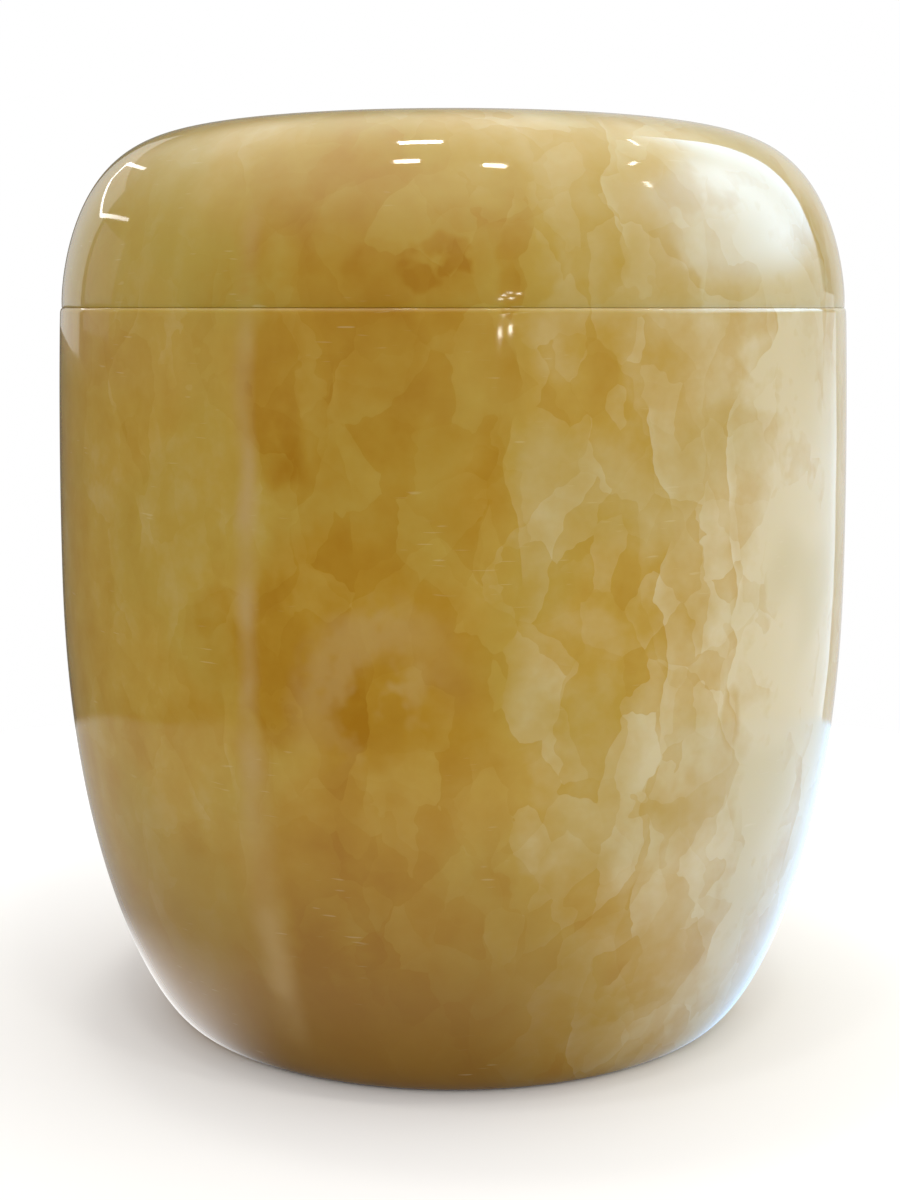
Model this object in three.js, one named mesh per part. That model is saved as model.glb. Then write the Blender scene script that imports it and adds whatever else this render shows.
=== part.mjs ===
// A cremation urn of honey onyx: a vessel turned and bored from one block, and a domed lid that
// rests on its rim. Both are solids of revolution about Z. Millimetres, +Z up, with the origin
// at the centre of the underside.
import * as THREE from "three";

// Outside of the body
const BODY_HEIGHT = 198; // underside to rim
const MAX_RADIUS = 110; // at the widest point
const SHOULDER_DROP = 71; // from the rim down to the widest point
const RIM_RADIUS = 108.5;
const BASE_RADIUS = 79.7; // flat underside
const FLANK_RISE = 2.18; // superellipse exponents of the flank, along Z and along the radius
const FLANK_SPREAD = 1.4;
const RIM_EDGE_HEIGHT = 1.4; // eased outer edge of the rim, taller than it is deep
const RIM_EDGE_DEPTH = 0.7;

// Inside of the body
const WALL = 15;
const FLOOR_THICKNESS = 18;
const FLOOR_CORNER = 12; // radius between floor and wall
const MOUTH_EDGE = 0.8; // small bevel where the bore meets the rim

// Lid
const LID_HEIGHT = 49; // rim to crown
const LID_SETBACK = 0.4; // the lid's side stands this far inside the rim
const LID_EDGE = 0.25; // rounded lower edge
const DOME_RISE = 1.7; // superellipse exponents of the dome, along Z and along the radius
const DOME_SPREAD = 7.4;
const CROWN_THICKNESS = 15;
const SPIGOT_DEPTH = 10; // locating ring below the seat
const SPIGOT_WALL = 9;
const SPIGOT_BEVEL = 1;
const LID_CLEARANCE = 0.8; // radial play between the spigot and the mouth

// Facets
const SEGMENTS = 72; // round the axis
const FLANK_STEPS = 18;
const SHOULDER_STEPS = 5;
const EDGE_STEPS = 3;
const CAVITY_STEPS = 8;
const DOME_STEPS = 13;

const STONE_COLOUR = 0xb0903f;
const STONE_ROUGHNESS = 0.08;
const QUARTER = Math.PI / 2;

const widestHeight = BODY_HEIGHT - SHOULDER_DROP;
const mouthRadius = RIM_RADIUS - WALL;
const lidRadius = RIM_RADIUS - LID_SETBACK;
const spigotRadius = mouthRadius - LID_CLEARANCE;
const lidBoreRadius = spigotRadius - SPIGOT_WALL;

const steps = (count) => Array.from({ length: count + 1 }, (_, i) => i / count);
const point = (radius, height) => new THREE.Vector2(radius, height);

// A quarter of a superellipse from (radius, 0) up to (0, height), from one angle to another.
function quarterSuperellipse(radius, height, spread, rise, count, from = 0) {
  return steps(count).map((share) => {
    const angle = from + share * (QUARTER - from);
    const across = share === 1 ? 0 : Math.cos(angle) ** (2 / spread);
    return point(radius * across, height * Math.sin(angle) ** (2 / rise));
  });
}

// The arc of a rounded edge about a centre, of a depth along the radius and a height along Z,
// from one angle to another.
function arc(centre, depth, height, from, to, count = EDGE_STEPS) {
  return steps(count).map((share) => {
    const angle = from + share * (to - from);
    return point(centre.x + depth * Math.cos(angle), centre.y + height * Math.sin(angle));
  });
}

// The outside radius of the body at a height: a superellipse from the foot to the widest
// point, and a shallow parabola from there in to the rim.
function outerRadius(height) {
  if (height >= widestHeight) {
    const share = (height - widestHeight) / SHOULDER_DROP;
    return MAX_RADIUS - (MAX_RADIUS - RIM_RADIUS) * share ** 2;
  }
  const below = ((widestHeight - height) / widestHeight) ** FLANK_RISE;
  return BASE_RADIUS + (MAX_RADIUS - BASE_RADIUS) * (1 - below) ** (1 / FLANK_SPREAD);
}

const surfacePoints = (heights, inset) =>
  heights.map((height) => point(outerRadius(height) - inset, height));

// A turned piece: a closed profile in radius and height, swept round Z.
function turned(name, profile) {
  const geometry = new THREE.LatheGeometry(profile, SEGMENTS).rotateX(QUARTER);
  const stone = new THREE.MeshStandardMaterial({
    color: STONE_COLOUR,
    roughness: STONE_ROUGHNESS,
    metalness: 0,
  });
  const mesh = new THREE.Mesh(geometry, stone);
  mesh.name = name;
  return mesh;
}

// The vessel: flat underside, flank, shoulder, rim, and the bore that follows the outside.
function makeBody() {
  const flankHeights = steps(FLANK_STEPS).map(
    (share) => widestHeight * (1 - Math.cos(share * QUARTER) ** (2 / FLANK_RISE)),
  );
  const shoulderTop = BODY_HEIGHT - RIM_EDGE_HEIGHT;
  const shoulderHeights = steps(SHOULDER_STEPS)
    .slice(1)
    .map((share) => widestHeight + share * (shoulderTop - widestHeight));
  const rimEdge = point(outerRadius(shoulderTop) - RIM_EDGE_DEPTH, shoulderTop);

  const cavityFoot = FLOOR_THICKNESS + FLOOR_CORNER;
  const cavityTop = BODY_HEIGHT - MOUTH_EDGE;
  const cavityHeights = steps(CAVITY_STEPS).map(
    (share) => cavityTop - share * (cavityTop - cavityFoot),
  );
  const floorCorner = point(outerRadius(cavityFoot) - WALL - FLOOR_CORNER, cavityFoot);

  return turned("urn_body", [
    point(0, 0),
    ...surfacePoints([...flankHeights, ...shoulderHeights], 0),
    ...arc(rimEdge, RIM_EDGE_DEPTH, RIM_EDGE_HEIGHT, 0, QUARTER).slice(1),
    point(mouthRadius + MOUTH_EDGE, BODY_HEIGHT),
    ...surfacePoints(cavityHeights, WALL),
    ...arc(floorCorner, FLOOR_CORNER, FLOOR_CORNER, 0, -QUARTER).slice(1),
    point(0, FLOOR_THICKNESS),
  ]);
}

// The lid, with its seat at height 0: domed outside, hollow inside, with a locating ring.
function makeLid() {
  const edge = point(lidRadius - LID_EDGE, LID_EDGE);
  const domeStart = Math.asin((LID_EDGE / LID_HEIGHT) ** (DOME_RISE / 2));
  const roof = LID_HEIGHT - CROWN_THICKNESS;
  const lid = turned("urn_lid", [
    ...quarterSuperellipse(lidBoreRadius, roof, DOME_SPREAD, DOME_RISE, CAVITY_STEPS).reverse(),
    point(lidBoreRadius, -SPIGOT_DEPTH),
    point(spigotRadius - SPIGOT_BEVEL, -SPIGOT_DEPTH),
    point(spigotRadius, SPIGOT_BEVEL - SPIGOT_DEPTH),
    point(spigotRadius, 0),
    ...arc(edge, LID_EDGE, LID_EDGE, -QUARTER, 0).slice(0, -1),
    ...quarterSuperellipse(lidRadius, LID_HEIGHT, DOME_SPREAD, DOME_RISE, DOME_STEPS, domeStart),
  ]);
  lid.position.z = BODY_HEIGHT;
  return lid;
}

const urn = new THREE.Group();
urn.add(makeBody(), makeLid());

export default urn;
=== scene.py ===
# A cremation urn of polished honey onyx, on a round pale table top in a softly lit room with a
# large window on its right. Metres, +Z up, the origin at the centre of the underside.
import math
from typing import NamedTuple

import bpy
from mathutils import Matrix, Vector


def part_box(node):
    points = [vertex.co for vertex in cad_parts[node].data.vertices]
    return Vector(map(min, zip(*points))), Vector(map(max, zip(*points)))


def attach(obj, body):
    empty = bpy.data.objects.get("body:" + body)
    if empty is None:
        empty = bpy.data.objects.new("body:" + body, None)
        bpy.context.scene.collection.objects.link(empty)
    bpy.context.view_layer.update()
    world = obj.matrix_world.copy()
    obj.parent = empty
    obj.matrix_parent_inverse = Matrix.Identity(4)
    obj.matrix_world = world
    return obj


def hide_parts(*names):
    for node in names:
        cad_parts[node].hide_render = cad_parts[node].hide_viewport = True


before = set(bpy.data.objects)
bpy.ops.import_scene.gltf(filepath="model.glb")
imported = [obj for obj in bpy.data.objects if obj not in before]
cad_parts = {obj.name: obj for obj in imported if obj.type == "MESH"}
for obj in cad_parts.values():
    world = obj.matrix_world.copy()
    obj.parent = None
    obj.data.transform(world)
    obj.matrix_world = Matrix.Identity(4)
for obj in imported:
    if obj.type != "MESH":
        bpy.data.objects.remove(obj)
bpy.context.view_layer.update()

MM = 0.001
QUARTER = math.pi / 2
DEGREES = 180 / math.pi  # in a radian

# Sizes that the solids give
_, body_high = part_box("urn_body")
lid_low, lid_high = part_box("urn_lid")
body_height = body_high.z
max_radius = body_high.x
lid_radius = lid_high.x
lid_height = lid_high.z - body_height
spigot_depth = body_height - lid_low.z

# The rest of the profile, as the solids have it. Rise and spread are the exponents of a
# superellipse, along Z and along the radius.
SHOULDER_DROP = 71 * MM
RIM_RADIUS = 108.5 * MM
BASE_RADIUS = 79.7 * MM
FLANK_RISE = 2.18
FLANK_SPREAD = 1.4
RIM_EDGE_HEIGHT = 1.4 * MM
RIM_EDGE_DEPTH = 0.7 * MM
WALL = 15 * MM
FLOOR_THICKNESS = 18 * MM
FLOOR_CORNER = 12 * MM
MOUTH_EDGE = 0.8 * MM
LID_EDGE = 0.25 * MM
DOME_RISE = 1.7
DOME_SPREAD = 7.4
CROWN_THICKNESS = 15 * MM
SPIGOT_WALL = 9 * MM
SPIGOT_BEVEL = 1 * MM
LID_CLEARANCE = 0.8 * MM

widest_height = body_height - SHOULDER_DROP
mouth_radius = RIM_RADIUS - WALL
spigot_radius = mouth_radius - LID_CLEARANCE
lid_bore_radius = spigot_radius - SPIGOT_WALL

# How finely the visible pieces are turned
SEGMENTS = 320
FLANK_STEPS = 72
SHOULDER_STEPS = 24
EDGE_STEPS = 10
CAVITY_STEPS = 24
DOME_STEPS = 72
SHARP_EDGE = math.radians(32)

# The rounded edges at the joint are polished by hand, so they wander inwards a little
HAND_WANDER = 0.15 * MM
WANDER_REACH = 3 * MM


def steps(count):
    return [i / count for i in range(count + 1)]


def dome(radius, height, count, start=0.0):
    """A quarter of a superellipse, from (radius, 0) up to (0, height)."""
    points = []
    for share in steps(count):
        angle = start + share * (QUARTER - start)
        across = 0.0 if share == 1 else math.cos(angle) ** (2 / DOME_SPREAD)
        points.append((radius * across, height * math.sin(angle) ** (2 / DOME_RISE)))
    return points


def arc(centre, depth, height, start, end):
    """A rounded edge about a centre, of a depth along the radius and a height along Z."""
    angles = [start + share * (end - start) for share in steps(EDGE_STEPS)]
    return [(centre[0] + depth * math.cos(a), centre[1] + height * math.sin(a)) for a in angles]


def outer_radius(height):
    """The body's outside: a superellipse from the foot to the widest point, and a shallow
    parabola from there in to the rim."""
    if height >= widest_height:
        share = (height - widest_height) / SHOULDER_DROP
        return max_radius - (max_radius - RIM_RADIUS) * share ** 2
    below = ((widest_height - height) / widest_height) ** FLANK_RISE
    return BASE_RADIUS + (max_radius - BASE_RADIUS) * (1 - below) ** (1 / FLANK_SPREAD)


def body_profile():
    flank = [
        widest_height * (1 - math.cos(share * QUARTER) ** (2 / FLANK_RISE))
        for share in steps(FLANK_STEPS)
    ]
    shoulder_top = body_height - RIM_EDGE_HEIGHT
    shoulder = [
        widest_height + share * (shoulder_top - widest_height)
        for share in steps(SHOULDER_STEPS)[1:]
    ]
    rim_centre = (outer_radius(shoulder_top) - RIM_EDGE_DEPTH, shoulder_top)
    cavity_foot = FLOOR_THICKNESS + FLOOR_CORNER
    cavity_top = body_height - MOUTH_EDGE
    cavity = [cavity_top - share * (cavity_top - cavity_foot) for share in steps(CAVITY_STEPS)]
    floor_centre = (outer_radius(cavity_foot) - WALL - FLOOR_CORNER, cavity_foot)
    return [
        (0.0, 0.0),
        *((outer_radius(height), height) for height in flank + shoulder),
        *arc(rim_centre, RIM_EDGE_DEPTH, RIM_EDGE_HEIGHT, 0, QUARTER)[1:],
        (mouth_radius + MOUTH_EDGE, body_height),
        *((outer_radius(height) - WALL, height) for height in cavity),
        *arc(floor_centre, FLOOR_CORNER, FLOOR_CORNER, 0, -QUARTER)[1:],
        (0.0, FLOOR_THICKNESS),
    ]


def lid_profile():
    edge_centre = (lid_radius - LID_EDGE, LID_EDGE)
    dome_start = math.asin((LID_EDGE / lid_height) ** (DOME_RISE / 2))
    profile = [
        *reversed(dome(lid_bore_radius, lid_height - CROWN_THICKNESS, CAVITY_STEPS)),
        (lid_bore_radius, -spigot_depth),
        (spigot_radius - SPIGOT_BEVEL, -spigot_depth),
        (spigot_radius, SPIGOT_BEVEL - spigot_depth),
        (spigot_radius, 0.0),
        *arc(edge_centre, LID_EDGE, LID_EDGE, -QUARTER, 0)[:-1],
        *dome(lid_radius, lid_height, DOME_STEPS, dome_start),
    ]
    return [(radius, height + body_height) for radius, height in profile]


def wander(angle):
    """How far the hand-polished edge has wandered at an angle, from 0 to 1."""
    waves = math.sin(3 * angle + 0.6) + math.sin(7 * angle + 2.1) + 0.8 * math.sin(17 * angle)
    highest = 2.8  # that the three can reach together
    return 0.5 + waves / (2 * highest)


def turned_vertices(profile):
    """The profile's two ends on the axis, and a ring of vertices for each point between them.
    Outside rings near the joint wander."""
    vertices = [(0.0, 0.0, profile[0][1])]
    turns = [2 * math.pi * i / SEGMENTS for i in range(SEGMENTS)]
    for radius, height in profile[1:-1]:
        near_joint = max(0.0, 1 - abs(height - body_height) / WANDER_REACH)
        outside = radius > mouth_radius + WALL / 2
        inset = HAND_WANDER * near_joint if outside else 0.0
        for angle in turns:
            reach = radius - inset * wander(angle)
            vertices.append((reach * math.cos(angle), reach * math.sin(angle), height))
    vertices.append((0.0, 0.0, profile[-1][1]))
    return vertices


def turned_faces(ring_count):
    """The faces between neighbouring rings, and a fan to each end on the axis."""
    top = 1 + ring_count * SEGMENTS
    last = top - SEGMENTS
    faces = []
    for i in range(SEGMENTS):
        j = (i + 1) % SEGMENTS
        faces.append((0, 1 + j, 1 + i))
        for ring in range(ring_count - 1):
            low = 1 + ring * SEGMENTS
            high = low + SEGMENTS
            faces.append((low + i, low + j, high + j, high + i))
        faces.append((last + i, last + j, top))
    return faces


def turned(name, profile):
    """One closed mesh, swept round Z from a profile that starts and ends on the axis."""
    mesh = bpy.data.meshes.new(name)
    mesh.from_pydata(turned_vertices(profile), [], turned_faces(len(profile) - 2))
    mesh.shade_smooth()
    mesh.set_sharp_from_angle(angle=SHARP_EDGE)
    piece = bpy.data.objects.new(name, mesh)
    bpy.context.collection.objects.link(piece)
    return piece


# Node formulas, with which a material or the world is written as sums and products
def blend(first, second, share):
    return first + (second - first) * share


def srgb(red, green, blue):
    """A colour given as 0 to 255, as linear light."""
    def linear(value):
        value /= 255
        return value / 12.92 if value <= 0.04045 else ((value + 0.055) / 1.055) ** 2.4
    return (linear(red), linear(green), linear(blue), 1.0)


class Field:
    """A number, vector, colour or shader that varies from place to place. Sums and products of
    numbers become math nodes."""

    def __init__(self, formula, socket):
        self.formula = formula
        self.socket = socket

    def __add__(self, other):
        return self.formula.math("ADD", self, other)

    def __sub__(self, other):
        return self.formula.math("SUBTRACT", self, other)

    def __mul__(self, other):
        return self.formula.math("MULTIPLY", self, other)

    __radd__ = __add__


class Formula:
    """Writes the nodes of one material or world."""

    def __init__(self, owner):
        owner.use_nodes = True
        self.tree = owner.node_tree
        self.tree.nodes.clear()

    def node(self, kind, inputs=(), **settings):
        node = self.tree.nodes.new(kind)
        for name, value in settings.items():
            setattr(node, name, value)
        sockets = [socket for socket in node.inputs if socket.enabled]
        named = inputs.items() if isinstance(inputs, dict) else enumerate(inputs)
        for key, value in named:
            self.feed(node.inputs[key] if isinstance(key, str) else sockets[key], value)
        return node

    def feed(self, socket, value):
        if isinstance(value, Field):
            self.tree.links.new(value.socket, socket)
        else:
            socket.default_value = value

    def output(self, node, key=0):
        sockets = [socket for socket in node.outputs if socket.enabled]
        return Field(self, node.outputs[key] if isinstance(key, str) else sockets[key])

    def math(self, operation, *values):
        return self.output(self.node("ShaderNodeMath", values, operation=operation))

    def vector(self, operation, *values):
        return self.output(self.node("ShaderNodeVectorMath", values, operation=operation))

    def length(self, vector):
        node = self.node("ShaderNodeVectorMath", [vector], operation="LENGTH")
        return self.output(node, "Value")

    def scaled(self, vector, factor):
        node = self.node("ShaderNodeVectorMath", {"Scale": factor}, operation="SCALE")
        self.feed(node.inputs[0], vector)
        return self.output(node)

    def parts(self, vector):
        node = self.node("ShaderNodeSeparateXYZ", [vector])
        return [self.output(node, axis) for axis in "XYZ"]

    def joined(self, x, y, z):
        return self.output(self.node("ShaderNodeCombineXYZ", [x, y, z]))

    def around(self, x, y):
        """The angle round Z in radians, 0 at the front and growing to the right."""
        return self.math("ARCTAN2", x, y * -1.0)

    def step(self, value, start, end, low=0.0, high=1.0):
        """Smoothly from low to high as value goes from start to end."""
        inputs = {"Value": value, "From Min": start, "From Max": end, "To Min": low, "To Max": high}
        return self.output(
            self.node("ShaderNodeMapRange", inputs, interpolation_type="SMOOTHSTEP")
        )

    def noise(self, vector, size, detail=0.0, roughness=0.5):
        inputs = {"Vector": vector, "Scale": 1 / size, "Detail": detail, "Roughness": roughness}
        return self.node("ShaderNodeTexNoise", inputs)

    def noise_value(self, *args, **settings):
        return self.output(self.noise(*args, **settings), 0)

    def noise_vector(self, *args, **settings):
        """Noise as a vector about zero."""
        return self.vector("SUBTRACT", self.output(self.noise(*args, **settings), 1), (0.5,) * 3)

    def cells(self, vector, size):
        """Cells round scattered points, each with a value of its own from 0 to 1."""
        inputs = {"Vector": vector, "Scale": 1 / size}
        node = self.node("ShaderNodeTexVoronoi", inputs, feature="F1")
        return self.parts(self.output(node, "Color"))[0]

    def mix(self, first, second, share):
        node = self.node("ShaderNodeMix", data_type="RGBA")
        sockets = [socket for socket in node.inputs if socket.enabled]
        for socket, value in zip(sockets, (share, first, second)):
            self.feed(socket, value)
        return self.output(node)

    def ramp(self, value, stops):
        node = self.node("ShaderNodeValToRGB", {"Fac": value})
        marks = node.color_ramp.elements
        while len(marks) < len(stops):
            marks.new(0.5)
        for mark, (position, colour) in zip(marks, stops):
            mark.position = position
            mark.color = colour
        return self.output(node, "Color")

    def shader(self, kind, **inputs):
        """A shader from inputs such as color and strength."""
        named = {name.title(): value for name, value in inputs.items()}
        return self.output(self.node(kind, named))

    def mix_shader(self, share, first, second):
        return self.output(self.node("ShaderNodeMixShader", [share, first, second]))


# The stone, in mm and degrees. An azimuth is 0 at the front and grows to the right. How pale the
# stone is goes from 0 for amber to 1 for cream.
SURFACE_RADIUS = 108.0  # turns an azimuth into a distance along the surface
DEGREES_PER_MM = 1 / math.radians(SURFACE_RADIUS)
GROUND_TONE = 0.35
STAGES_ROUND = 20
STAGE_DEPTH = 0.2
VEIN_AZIMUTH = -26.5
BODY_VEIN = (4, 215)  # from one height to another
LID_VEIN = (180, 226)
CALM_AZIMUTH = -58.0  # the middle of the calm left side
ARCH_AZIMUTH = -8
ARCH_HEIGHT = 102.0
ARCH_SIZE = (19.0, 23.0, 1.0)

TONES = [
    (0.00, srgb(160, 112, 12)),
    (0.25, srgb(172, 130, 34)),
    (0.50, srgb(182, 148, 61)),
    (0.75, srgb(193, 167, 106)),
    (1.00, srgb(206, 191, 149)),
]
LILAC = srgb(184, 154, 98)
OLIVE = srgb(166, 146, 62)
# The brown of the painted shade towards the foot
FOOT_SHADE_BROWN = srgb(134, 94, 14)
# The pale of the fissure lines, a painted highlight
FISSURE_GLINT = srgb(214, 200, 160)


class Spot(NamedTuple):
    """A patch of one tone. Its softness is its border's width as a share of its size."""

    azimuth: float
    height: float
    half_width: float
    half_height: float
    paler: float
    softness: float


BODY_SPOTS = {
    "amber right of the vein, high": Spot(-22.5, 177, 9, 24, -0.18, 0.6),
    "amber right of the vein, middle": Spot(-21, 148, 8, 18, -0.14, 0.8),
    "amber right of the vein, low": Spot(-23, 114, 10, 20, -0.22, 0.5),
    "amber left of the vein": Spot(-31, 126, 6, 18, -0.14, 0.6),
    "amber under the rim": Spot(-8.5, 182, 11, 20, -0.12, 0.4),
    "gold lens": Spot(-5, 143, 20, 13, -0.03, 1.0),
    "amber pocket in the arch": Spot(-8, 105, 15, 13, -0.17, 1.0),
    "gold at the middle": Spot(0, 160, 26, 30, 0.04, 1.0),
    "brown beside the vein": Spot(-20, 56, 16, 24, -0.12, 1.0),
    "brown beside the vein, low": Spot(-19, 30, 15, 20, -0.18, 0.8),
    "beige drift": Spot(10, 100, 9, 16, 0.11, 0.7),
    "gold below the drift": Spot(11, 62, 11, 16, -0.16, 0.8),
    "olive low on the right": Spot(18, 56, 8, 18, -0.08, 0.6),
    "beige right of the middle": Spot(26, 110, 26, 50, 0.09, 1.0),
    "gold under the rim on the right": Spot(26, 188, 16, 20, -0.06, 0.8),
    "beige low on the right": Spot(31, 70, 18, 44, 0.12, 0.9),
    "beige at the foot": Spot(30, 18, 26, 14, 0.14, 0.6),
    "cream band": Spot(52, 128, 14, 70, 0.12, 0.25),
    "cream shelf": Spot(45, 182, 16, 9, 0.12, 0.3),
    "cream drift at the foot": Spot(46, 52, 14, 34, 0.10, 0.3),
    "amber on the right": Spot(39, 99, 4, 8, -0.20, 0.5),
}
LID_SPOTS = {
    "amber pocket": Spot(-1, 207, 10, 8, -0.24, 0.25),
    "amber beside the pocket": Spot(9, 208, 8, 12, -0.12, 0.25),
    "beige round the pocket": Spot(3, 213, 24, 18, 0.02, 0.3),
    "amber on the left": Spot(-31, 206, 11, 15, -0.14, 0.6),
    "amber right of the vein": Spot(-22, 208, 10, 15, -0.12, 0.6),
    "amber before the middle": Spot(-9, 204, 9, 9, -0.10, 0.3),
    "beige above the pocket": Spot(17, 219, 12, 16, 0.06, 0.4),
    "beige at the lamps": Spot(1, 233, 16, 14, 0.14, 0.8),
    "cream on the right": Spot(38, 212, 20, 22, 0.22, 0.4),
}


def along_surface(azimuth):
    return math.radians(azimuth) * SURFACE_RADIUS


class StonePlace:
    """Where a point of the stone is. Crystal growth pushes every boundary about, in a slow drift
    and in lobes of a few millimetres. Spots and veins only sway with it."""

    DRIFT_SIZE = 24.0
    DRIFT_REACH = 11.0
    LOBE_SIZE = 4.5
    LOBE_REACH = 3.4
    SWAY = 0.4

    def __init__(self, f):
        self.point = f.scaled(f.output(f.node("ShaderNodeTexCoord"), "Object"), 1 / MM)
        self.x, self.y, self.z = f.parts(self.point)
        around = f.around(self.x, self.y)
        self.azimuth = around * DEGREES
        self.off_axis = f.step(f.length(f.joined(self.x, self.y, 0.0)), 30, 80)

        drift = f.scaled(f.noise_vector(self.point, self.DRIFT_SIZE, detail=1.0), self.DRIFT_REACH)
        lobes = f.scaled(f.noise_vector(self.point, self.LOBE_SIZE, detail=1.0), self.LOBE_REACH)
        self.push = f.vector("ADD", drift, lobes)
        surface = f.joined(around * SURFACE_RADIUS, self.z, 0.0)
        self.swayed = f.vector("ADD", surface, f.scaled(self.push, self.SWAY))
        pushed_across, self.pushed_height, _ = f.parts(f.vector("ADD", surface, self.push))
        self.pushed_azimuth = pushed_across * DEGREES_PER_MM


def large_tones(f, at):
    """Amber ground, and cream on the right that is partly painted window light. Both sides fade out
    at the back and near the axis.
    """
    # Paler to the right: partly the stone's cream, partly painted light from the window on the
    # right.
    cream_and_window_light_begins = f.step(at.pushed_azimuth, 2, 14, 0.0, 0.27)
    cream_and_window_light_deepens = f.step(at.pushed_azimuth, 20, 60, 0.0, 0.38)
    cream_and_window_light_ends = f.step(at.pushed_azimuth, 165, 115)
    left_pales = f.step(at.pushed_azimuth, -15, -35, 0.0, 0.13)
    left_ends = f.step(at.azimuth, -170, -130)
    # Paler towards the crown: partly the stone's tone, partly a painted reflection of the back
    # wall.
    crown_tone_and_painted_reflection = f.step(at.pushed_height, 215, 243, 0.0, 0.2)
    # Darker towards the foot: painted shade.
    painted_foot_darkening = f.step(at.pushed_height, 60, 10, 0.0, 0.1)
    sides = (cream_and_window_light_begins + cream_and_window_light_deepens) * cream_and_window_light_ends + left_pales * left_ends
    return GROUND_TONE + sides * at.off_axis + crown_tone_and_painted_reflection - painted_foot_darkening


def spot_tone(f, at, spot):
    centre = (along_surface(spot.azimuth), spot.height, 0.0)
    size = (spot.half_width, spot.half_height, 1.0)
    reach = f.length(f.vector("DIVIDE", f.vector("SUBTRACT", at.swayed, centre), size))
    border = spot.softness / 2
    return f.step(reach, 1 + border, 1 - border, 0.0, spot.paler)


def growth_stages(f, at):
    """Each stage starts at a crisp lobed edge and deepens away from it. The edges come and go."""
    busy = f.step(at.azimuth, -10, 25, 0.4, 1.0) - f.step(at.azimuth, 130, 170, 0.0, 0.6)
    found = f.step(f.noise_value(at.point, 15.0), 0.42, 0.62) * busy * at.off_axis
    swell = f.noise_value(at.point, 34.0, detail=1.0) * 1.4
    stage = f.math("FRACT", at.pushed_azimuth * (STAGES_ROUND / 360) + swell)
    edge = f.step(stage, 0.1, 0.0, 0.4, 0.7)
    return (edge - stage) * found * STAGE_DEPTH


def petals(f, at, size, strength):
    """Patches of one tone each, that overlap with crisp lobed borders, calmer on the left."""
    upright = (1.0, 1.0, 0.7)
    leaning = f.vector("MULTIPLY", f.vector("ADD", at.point, at.push), upright)
    from_calm_side = f.math("ABSOLUTE", at.azimuth - CALM_AZIMUTH)
    return (f.cells(leaning, size) - 0.5) * f.step(from_calm_side, 25, 45, 0.4, 1.0) * strength


def mottle(f, at, clouds):
    """Broad clouds, fine ones and upright streaks."""
    upright = (1.0, 1.0, 0.2)
    fine = f.noise_value(at.point, 12.0, detail=3.5, roughness=0.62)
    streaks = f.noise_value(f.vector("MULTIPLY", at.point, upright), 9.0)
    return (clouds - 0.5) * 0.22 + (fine - 0.5) * 0.46 + (streaks - 0.5) * 0.20


def painted_foot_shade(f, at):
    """How much painted shade, in brown, darkens the stone towards the foot, less on the right."""
    front = f.step(at.azimuth, 0, 35, 0.9, 0.2)
    back = f.step(at.azimuth, 130, 170, 0.0, 0.4)
    return f.step(at.pushed_height, 90, 0) * (front + back)


def vein(f, at, low, high):
    """The lilac vein, broken along its length, and wider and fainter low down."""
    across, _, _ = f.parts(at.swayed)
    offset = f.math("ABSOLUTE", across - along_surface(VEIN_AZIMUTH))
    half_width = f.step(at.z, 110, 70, 4.0, 7.5)
    ends = f.step(at.z, low, low + 25) * f.step(at.z, high, high - 12)
    broken = f.step(f.noise_value(at.point, 16.0), 0.4, 0.65, 0.4, 0.85)
    fainter_below = f.step(at.z, 110, 70, 1.0, 0.65)
    fainter_on_lid = f.step(at.z, 190, 200, 1.0, 0.4)
    return f.step(offset, half_width, 0.0) * ends * broken * fainter_below * fainter_on_lid


def arch(f, at):
    """The lilac arch right of the vein, open below and fading out on its right."""
    centre = (along_surface(ARCH_AZIMUTH), ARCH_HEIGHT, 0.0)
    reach = f.length(f.vector("DIVIDE", f.vector("SUBTRACT", at.swayed, centre), ARCH_SIZE))
    band = f.step(f.math("ABSOLUTE", reach - 1.0), 0.45, 0.05)
    foot = f.step(at.azimuth, -12, 0, 84, 98)
    above_foot = f.step(at.z, foot, 112)
    fades = f.step(at.azimuth, 4, -9, 0.15, 1.0)
    return band * above_foot * fades * 0.45


def fissure_glints(f, at):
    """Short level fissure lines in a few places, drawn pale: painted highlights where they catch
    the light.
    """
    level = f.vector("MULTIPLY", at.point, (1.0, 1.0, 9.0))
    lines = f.step(f.noise_value(level, 6.0), 0.75, 0.85)
    places = f.step(f.noise_value(at.point, 20.0), 0.56, 0.66)
    return lines * places * 0.2


def onyx_colour(f, at, spots, vein_heights, olive_share, has_arch):
    clouds = f.noise_value(at.point, 40.0, detail=1.0)
    pale = large_tones(f, at)
    for spot in spots.values():
        pale = pale + spot_tone(f, at, spot)
    pale = pale + growth_stages(f, at)
    pale = pale + petals(f, at, size=26.0, strength=0.22) + petals(f, at, size=10.0, strength=0.20)
    pale = pale + mottle(f, at, clouds)

    olive = f.step(clouds, 0.45, 0.65, 0.0, 0.25) + olive_share
    less_in_amber = f.step(pale, 0.0, 0.45, 0.2, 1.0)
    colour = f.mix(f.ramp(pale, TONES), OLIVE, olive * less_in_amber)
    # Painted shade towards the foot.
    colour = f.mix(colour, FOOT_SHADE_BROWN, painted_foot_shade(f, at))
    colour = f.mix(colour, LILAC, vein(f, at, *vein_heights))
    if has_arch:
        colour = f.mix(colour, LILAC, arch(f, at))
    # Pale fissure lines: painted highlights.
    return f.mix(colour, FISSURE_GLINT, fissure_glints(f, at))


def hidden_share(f, at):
    """1 on the inside and the underside, where the hand seldom goes, and 0 outside."""
    normal = f.output(f.node("ShaderNodeTexCoord"), "Normal")
    outwards = f.vector("DOT_PRODUCT", normal, f.joined(at.x, at.y, 0.0))
    inside = f.step(outwards, 0.0, -2.0)
    underside = f.step(f.parts(normal)[2], -0.8, -0.95)
    return f.math("MAXIMUM", inside, underside)


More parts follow.
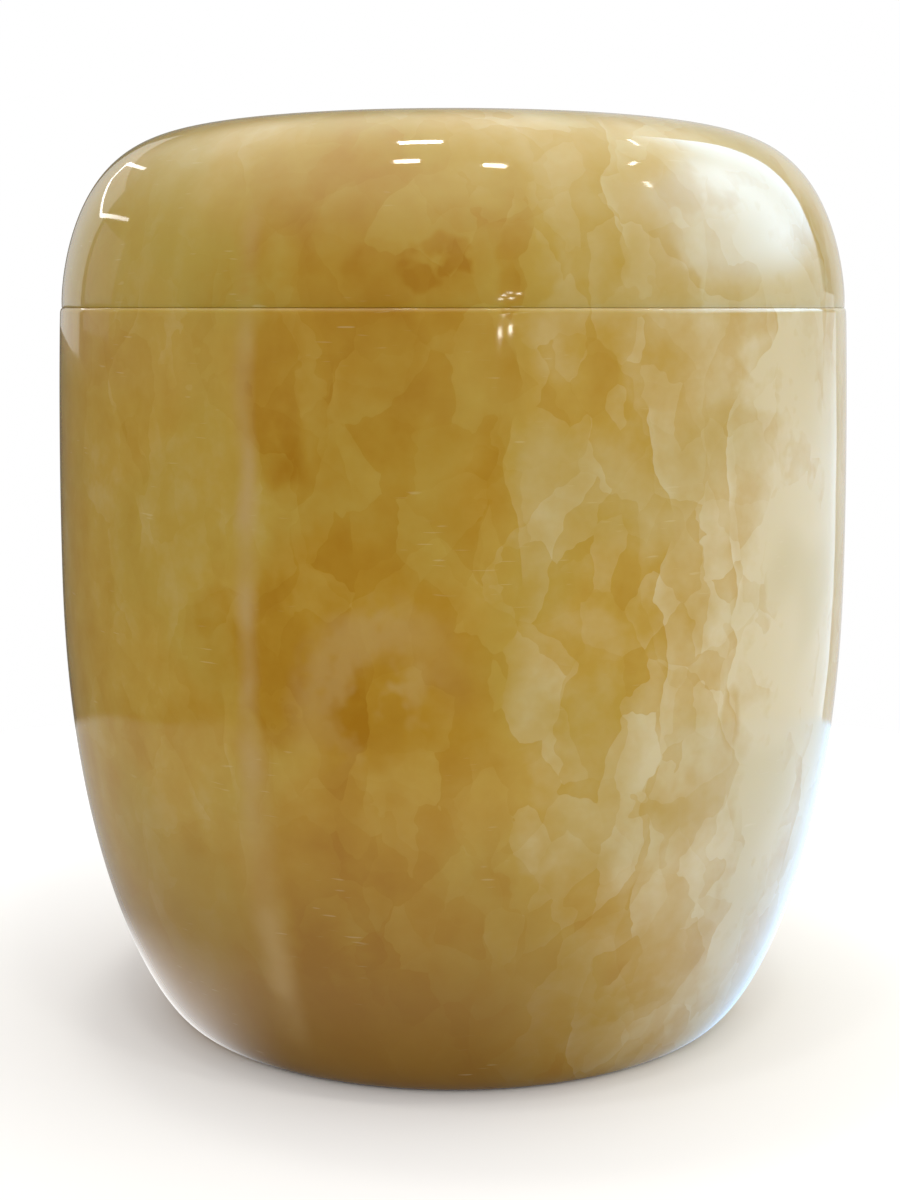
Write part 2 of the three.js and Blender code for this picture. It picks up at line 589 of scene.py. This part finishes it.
def onyx(name, spots, vein_heights, olive_share=0.0, has_arch=False):
    """Honey onyx: amber ground, feathery pale clouds that grew in stages, and lilac veins. It is
    polished by hand outside and honed where it is hidden."""
    material = bpy.data.materials.new(name)
    f = Formula(material)
    at = StonePlace(f)
    waviness = f.noise_value(at.point, 16.0)
    polish = f.step(waviness, 0.2, 0.8, 0.03, 0.07)
    relief = f.node("ShaderNodeBump", {"Strength": 0.5, "Distance": 0.25 * MM, "Height": waviness})
    stone = f.node("ShaderNodeBsdfPrincipled", {
        "Base Color": onyx_colour(f, at, spots, vein_heights, olive_share, has_arch),
        "Roughness": polish + hidden_share(f, at) * 0.35,
        "IOR": 1.5,
        "Subsurface Weight": 0.3,
        "Subsurface Radius": (1.0, 0.6, 0.25),
        "Subsurface Scale": 9 * MM,
        "Normal": f.output(relief),
    })
    f.node("ShaderNodeOutputMaterial", {"Surface": f.output(stone)})
    return material


# The two pieces
def make_body():
    piece = turned("onyx_vessel", body_profile())
    piece.data.materials.append(onyx("body_onyx", BODY_SPOTS, BODY_VEIN, has_arch=True))
    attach(piece, "root")
    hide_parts("urn_body")


def make_lid():
    piece = turned("onyx_lid_dome", lid_profile())
    piece.data.materials.append(onyx("lid_onyx", LID_SPOTS, LID_VEIN, olive_share=0.3))
    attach(piece, "root")
    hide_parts("urn_lid")


# The table top and the room, in metres and degrees. A brightness is relative to a white wall's.
TABLE_RADIUS = 0.41
TABLE_FADE = (TABLE_RADIUS - 0.03, TABLE_RADIUS - 0.005)  # it turns clear between these
TABLE_GAP = 0.2 * MM
TABLE_PALE = (0.9, 0.9, 0.9, 1.0)
TABLE_SHADE = (0.54, 0.54, 0.54, 1.0)
WHITE = (1.0, 1.0, 1.0, 1.0)
DAYLIGHT = (0.69, 0.96, 1.30, 1.0)
PLAIN_LIGHT = (1.0, 1.0, 1.0)
LAMPLIGHT = (1.0, 0.97, 0.9)
LILAC_LIGHT = (0.96, 0.93, 1.0)
COOL_LIGHT = (0.92, 0.96, 1.0)
WINDOW_BRIGHTNESS = 5.3
LAMP_BRIGHTNESS = 36.0
SPARKLE_BRIGHTNESS = 40.0
SPARKLE_SIZE = 0.8
LIGHT_DISTANCE = 6.0
LIGHT_AIM = Vector((0.0, 0.0, 0.15))


def mirrored_table(f, x, y, distance):
    """What the polished stone mirrors of the table, as a glow that only mirrored rays see: painted
    daylight on its right, less on its left.
    """
    azimuth = f.around(x, y) * DEGREES
    near_left = f.step(azimuth, -30, -60) * f.step(azimuth, -178, -140)
    near_right = f.step(azimuth, 25, 75) * f.step(azimuth, 178, 140)
    # Painted shade: dim in front of the urn, and darker round its foot.
    front = f.step(distance, 0.42, 0.2, 0.14, 0.6) * f.step(distance, 0.08, 0.12, 0.3, 1.0)
    left = f.step(distance, 0.14, 0.09, 0.50, 1.35)
    daylit = blend(front, left, near_left) + near_right * 1.3
    tint = f.mix(WHITE, DAYLIGHT, near_right)
    return f.shader("ShaderNodeEmission", color=tint, strength=daylit)


def table_material():
    """Pale, and clear towards the rim."""
    material = bpy.data.materials.new("pale_table")
    f = Formula(material)
    position = f.output(f.node("ShaderNodeTexCoord"), "Object")
    x, y, _ = f.parts(position)
    distance = f.length(position)
    paths = f.node("ShaderNodeLightPath")
    colour = f.mix(TABLE_SHADE, TABLE_PALE, f.output(paths, "Is Camera Ray"))
    pale = f.shader("ShaderNodeBsdfDiffuse", color=colour)
    mirrored = mirrored_table(f, x, y, distance)
    pale = f.mix_shader(f.output(paths, "Is Glossy Ray"), pale, mirrored)
    fade = f.step(distance, *TABLE_FADE)
    surface = f.mix_shader(fade, pale, f.shader("ShaderNodeBsdfTransparent"))
    f.node("ShaderNodeOutputMaterial", {"Surface": surface})
    return material


def make_table():
    """A round pale surface that fades out at its rim, so that no edge shows behind the urn."""
    bpy.ops.mesh.primitive_circle_add(
        vertices=128, radius=TABLE_RADIUS, fill_type="NGON", location=(0, 0, -TABLE_GAP)
    )
    table = bpy.context.object
    table.name = "table_top"
    table.data.materials.append(table_material())


def window_share(f, azimuth, elevation):
    """How much of the window's daylight comes from a direction: dim low down, and cut off by
    its frame on the far side and above."""
    far_side = f.step(elevation, 5, 40, 133, 148) + f.step(elevation, 4, 2, 0, 10)
    sides = f.step(azimuth, 42, 112) * f.step(azimuth, far_side + 0.5, far_side - 0.5)
    high = f.step(azimuth, 112, 128, 1.0, 0.6)
    low = f.step(elevation, -4, 1, 0.25, 0.12)
    return sides * f.step(elevation, 6, 19, low, high) * f.step(elevation, 56, 38)


def mirrored_room(f, x, azimuth, elevation):
    """What the polished stone mirrors of the walls and the ceiling, window aside."""
    left = f.step(azimuth, -55, -85)
    walls = blend(0.14, 0.24 + left * 0.07, f.step(elevation, -1.5, 0.5))
    ceiling = f.step(elevation, 15, 65, 0.0, 1.7)
    back_edge = f.step(x, -0.35, 0.35, 148, 134)
    behind = f.step(f.math("ABSOLUTE", azimuth), back_edge, back_edge + 16)
    behind = behind * f.step(elevation, 40, 15)
    back_wall = f.step(x, -0.35, 0.35, 0.1, 0.75)
    return blend(walls + ceiling, back_wall, behind)


def soft_room(f, x, elevation):
    """The soft light that falls on everything, stronger from the right."""
    upper = f.step(elevation, -25, 25, 0.36, 1.4)
    overhead = f.step(elevation, 30, 80, 1.0, 0.6)
    return upper * overhead * (1.0 + x * 0.28)


def make_room():
    """A pale room: a bright ceiling, daylight low on the right, dimmer towards the front."""
    world = bpy.data.worlds.new("pale_room")
    bpy.context.scene.world = world
    f = Formula(world)
    x, y, z = f.parts(f.output(f.node("ShaderNodeTexCoord"), "Generated"))
    azimuth = f.around(x, y) * DEGREES
    elevation = f.math("ARCSINE", z) * DEGREES

    window = window_share(f, azimuth, elevation)
    mirrored = mirrored_room(f, x, azimuth, elevation) + window * WINDOW_BRIGHTNESS
    tint = f.mix(WHITE, DAYLIGHT, f.math("MINIMUM", window * 2.4, 1.0))
    glossy_light = f.shader("ShaderNodeBackground", color=tint, strength=mirrored)
    soft = soft_room(f, x, elevation)
    soft_light = f.shader("ShaderNodeBackground", color=WHITE, strength=soft)
    backdrop = f.shader("ShaderNodeBackground", color=WHITE)

    paths = f.node("ShaderNodeLightPath")
    light = f.mix_shader(f.output(paths, "Is Glossy Ray"), soft_light, glossy_light)
    light = f.mix_shader(f.output(paths, "Is Camera Ray"), light, backdrop)
    f.node("ShaderNodeOutputWorld", {"Surface": light})


def compass(azimuth, elevation):
    """The direction at an azimuth, 0 towards the camera and growing to the right."""
    turn, rise = math.radians(azimuth), math.radians(elevation)
    flat = math.cos(rise)
    return Vector((math.sin(turn) * flat, -math.cos(turn) * flat, math.sin(rise)))


def make_light(name, place, across, size, brightness, colour):
    """A rectangle that faces the urn, its width laid along across, out of the camera's sight."""
    light = bpy.data.lights.new(name, "AREA")
    light.shape = "RECTANGLE"
    light.size, light.size_y = size
    light.energy = brightness * math.pi * size[0] * size[1]
    light.color = colour
    lamp = bpy.data.objects.new(name, light)
    back = (place - LIGHT_AIM).normalized()
    side = (across - across.project(back)).normalized()
    axes = Matrix((side, back.cross(side), back)).transposed()
    lamp.matrix_world = Matrix.Translation(place) @ axes.to_4x4()
    lamp.visible_camera = False
    bpy.context.collection.objects.link(lamp)


def make_strip(name, start, end, width, brightness, colour=PLAIN_LIGHT):
    """A light that runs from one (azimuth, elevation) to another, as seen from the urn."""
    ends = [LIGHT_AIM + compass(*place) * LIGHT_DISTANCE for place in (start, end)]
    run = ends[1] - ends[0]
    size = (run.length, 2 * LIGHT_DISTANCE * math.tan(math.radians(width / 2)))
    make_light(name, (ends[0] + ends[1]) / 2, run, size, brightness, colour)


def make_left_window():
    """Two dim panes behind on the left, and the bright frame round the far one's corner."""
    make_strip(
        "left_pane_far", (-147, 0.2), (-147, 25), width=28, brightness=0.5, colour=COOL_LIGHT
    )
    make_strip(
        "left_pane_near", (-120.5, 1.4), (-120.5, 17), width=18, brightness=0.25, colour=LILAC_LIGHT
    )
    corners = ((-137, 30), (-151, 22), (-148, 18.5), (-135, 16.5), (-116, 21.5))
    for i, (start, end) in enumerate(zip(corners, corners[1:])):
        make_strip(f"left_frame_{i}", start, end, width=0.9, brightness=4.5)


def make_lamps():
    """Three lamps overhead, whose glints show before the crown."""
    for name, place, size in (
        ("lamp_back", (-0.17, 0.13, 2.1), (0.21, 0.13)),
        ("lamp_left", (-0.3, -0.53, 2.1), (0.17, 0.11)),
        ("lamp_right", (0.29, -0.69, 2.1), (0.18, 0.11)),
    ):
        make_light(name, Vector(place), Vector((1, 0, 0)), size, LAMP_BRIGHTNESS, LAMPLIGHT)


def make_glints():
    """Small lights low in the room, and the glints above the window."""
    sparkles = ((13.5, 7), (15, 9), (17.5, 8), (12.5, 4.2), (15.5, 4.5))
    for i, (azimuth, elevation) in enumerate(sparkles):
        start = (azimuth - SPARKLE_SIZE / 2, elevation)
        end = (azimuth + SPARKLE_SIZE / 2, elevation)
        make_strip(f"sparkle_{i}", start, end, SPARKLE_SIZE, SPARKLE_BRIGHTNESS, LAMPLIGHT)
    make_strip("window_glint_far", (128, 57), (139, 56), width=0.8, brightness=9.0)
    for name, start, end in (("near", (90, 57.5), (97, 57.5)), ("low", (77, 46), (79, 49))):
        make_strip(f"window_glint_{name}", start, end, 1.2, 18.0, LAMPLIGHT)


# The camera, where the photograph's was
CAMERA_DISTANCE = 0.55
CAMERA_HEIGHT = 0.1981
CAMERA_SIDE = -0.00085
PICTURE_HEIGHT = 1200  # pixels
FOCAL_PIXELS = 1932
HORIZON_ROW = 307.5  # pixels, where eye level falls
SENSOR = 36.0


def make_camera():
    camera = bpy.data.cameras.new("camera")
    camera.sensor_fit = "VERTICAL"
    camera.sensor_height = SENSOR
    camera.lens = SENSOR * FOCAL_PIXELS / PICTURE_HEIGHT
    viewer = bpy.data.objects.new("camera", camera)
    pitch = math.atan((PICTURE_HEIGHT / 2 - HORIZON_ROW) / FOCAL_PIXELS)
    viewer.location = (CAMERA_SIDE, -CAMERA_DISTANCE, CAMERA_HEIGHT)
    viewer.rotation_euler = (QUARTER - pitch, 0, 0)
    bpy.context.collection.objects.link(viewer)
    bpy.context.scene.camera = viewer


make_body()
make_lid()
make_table()
make_room()
make_left_window()
make_lamps()
make_glints()
make_camera()
bpy.context.scene.view_settings.view_transform = "Standard"
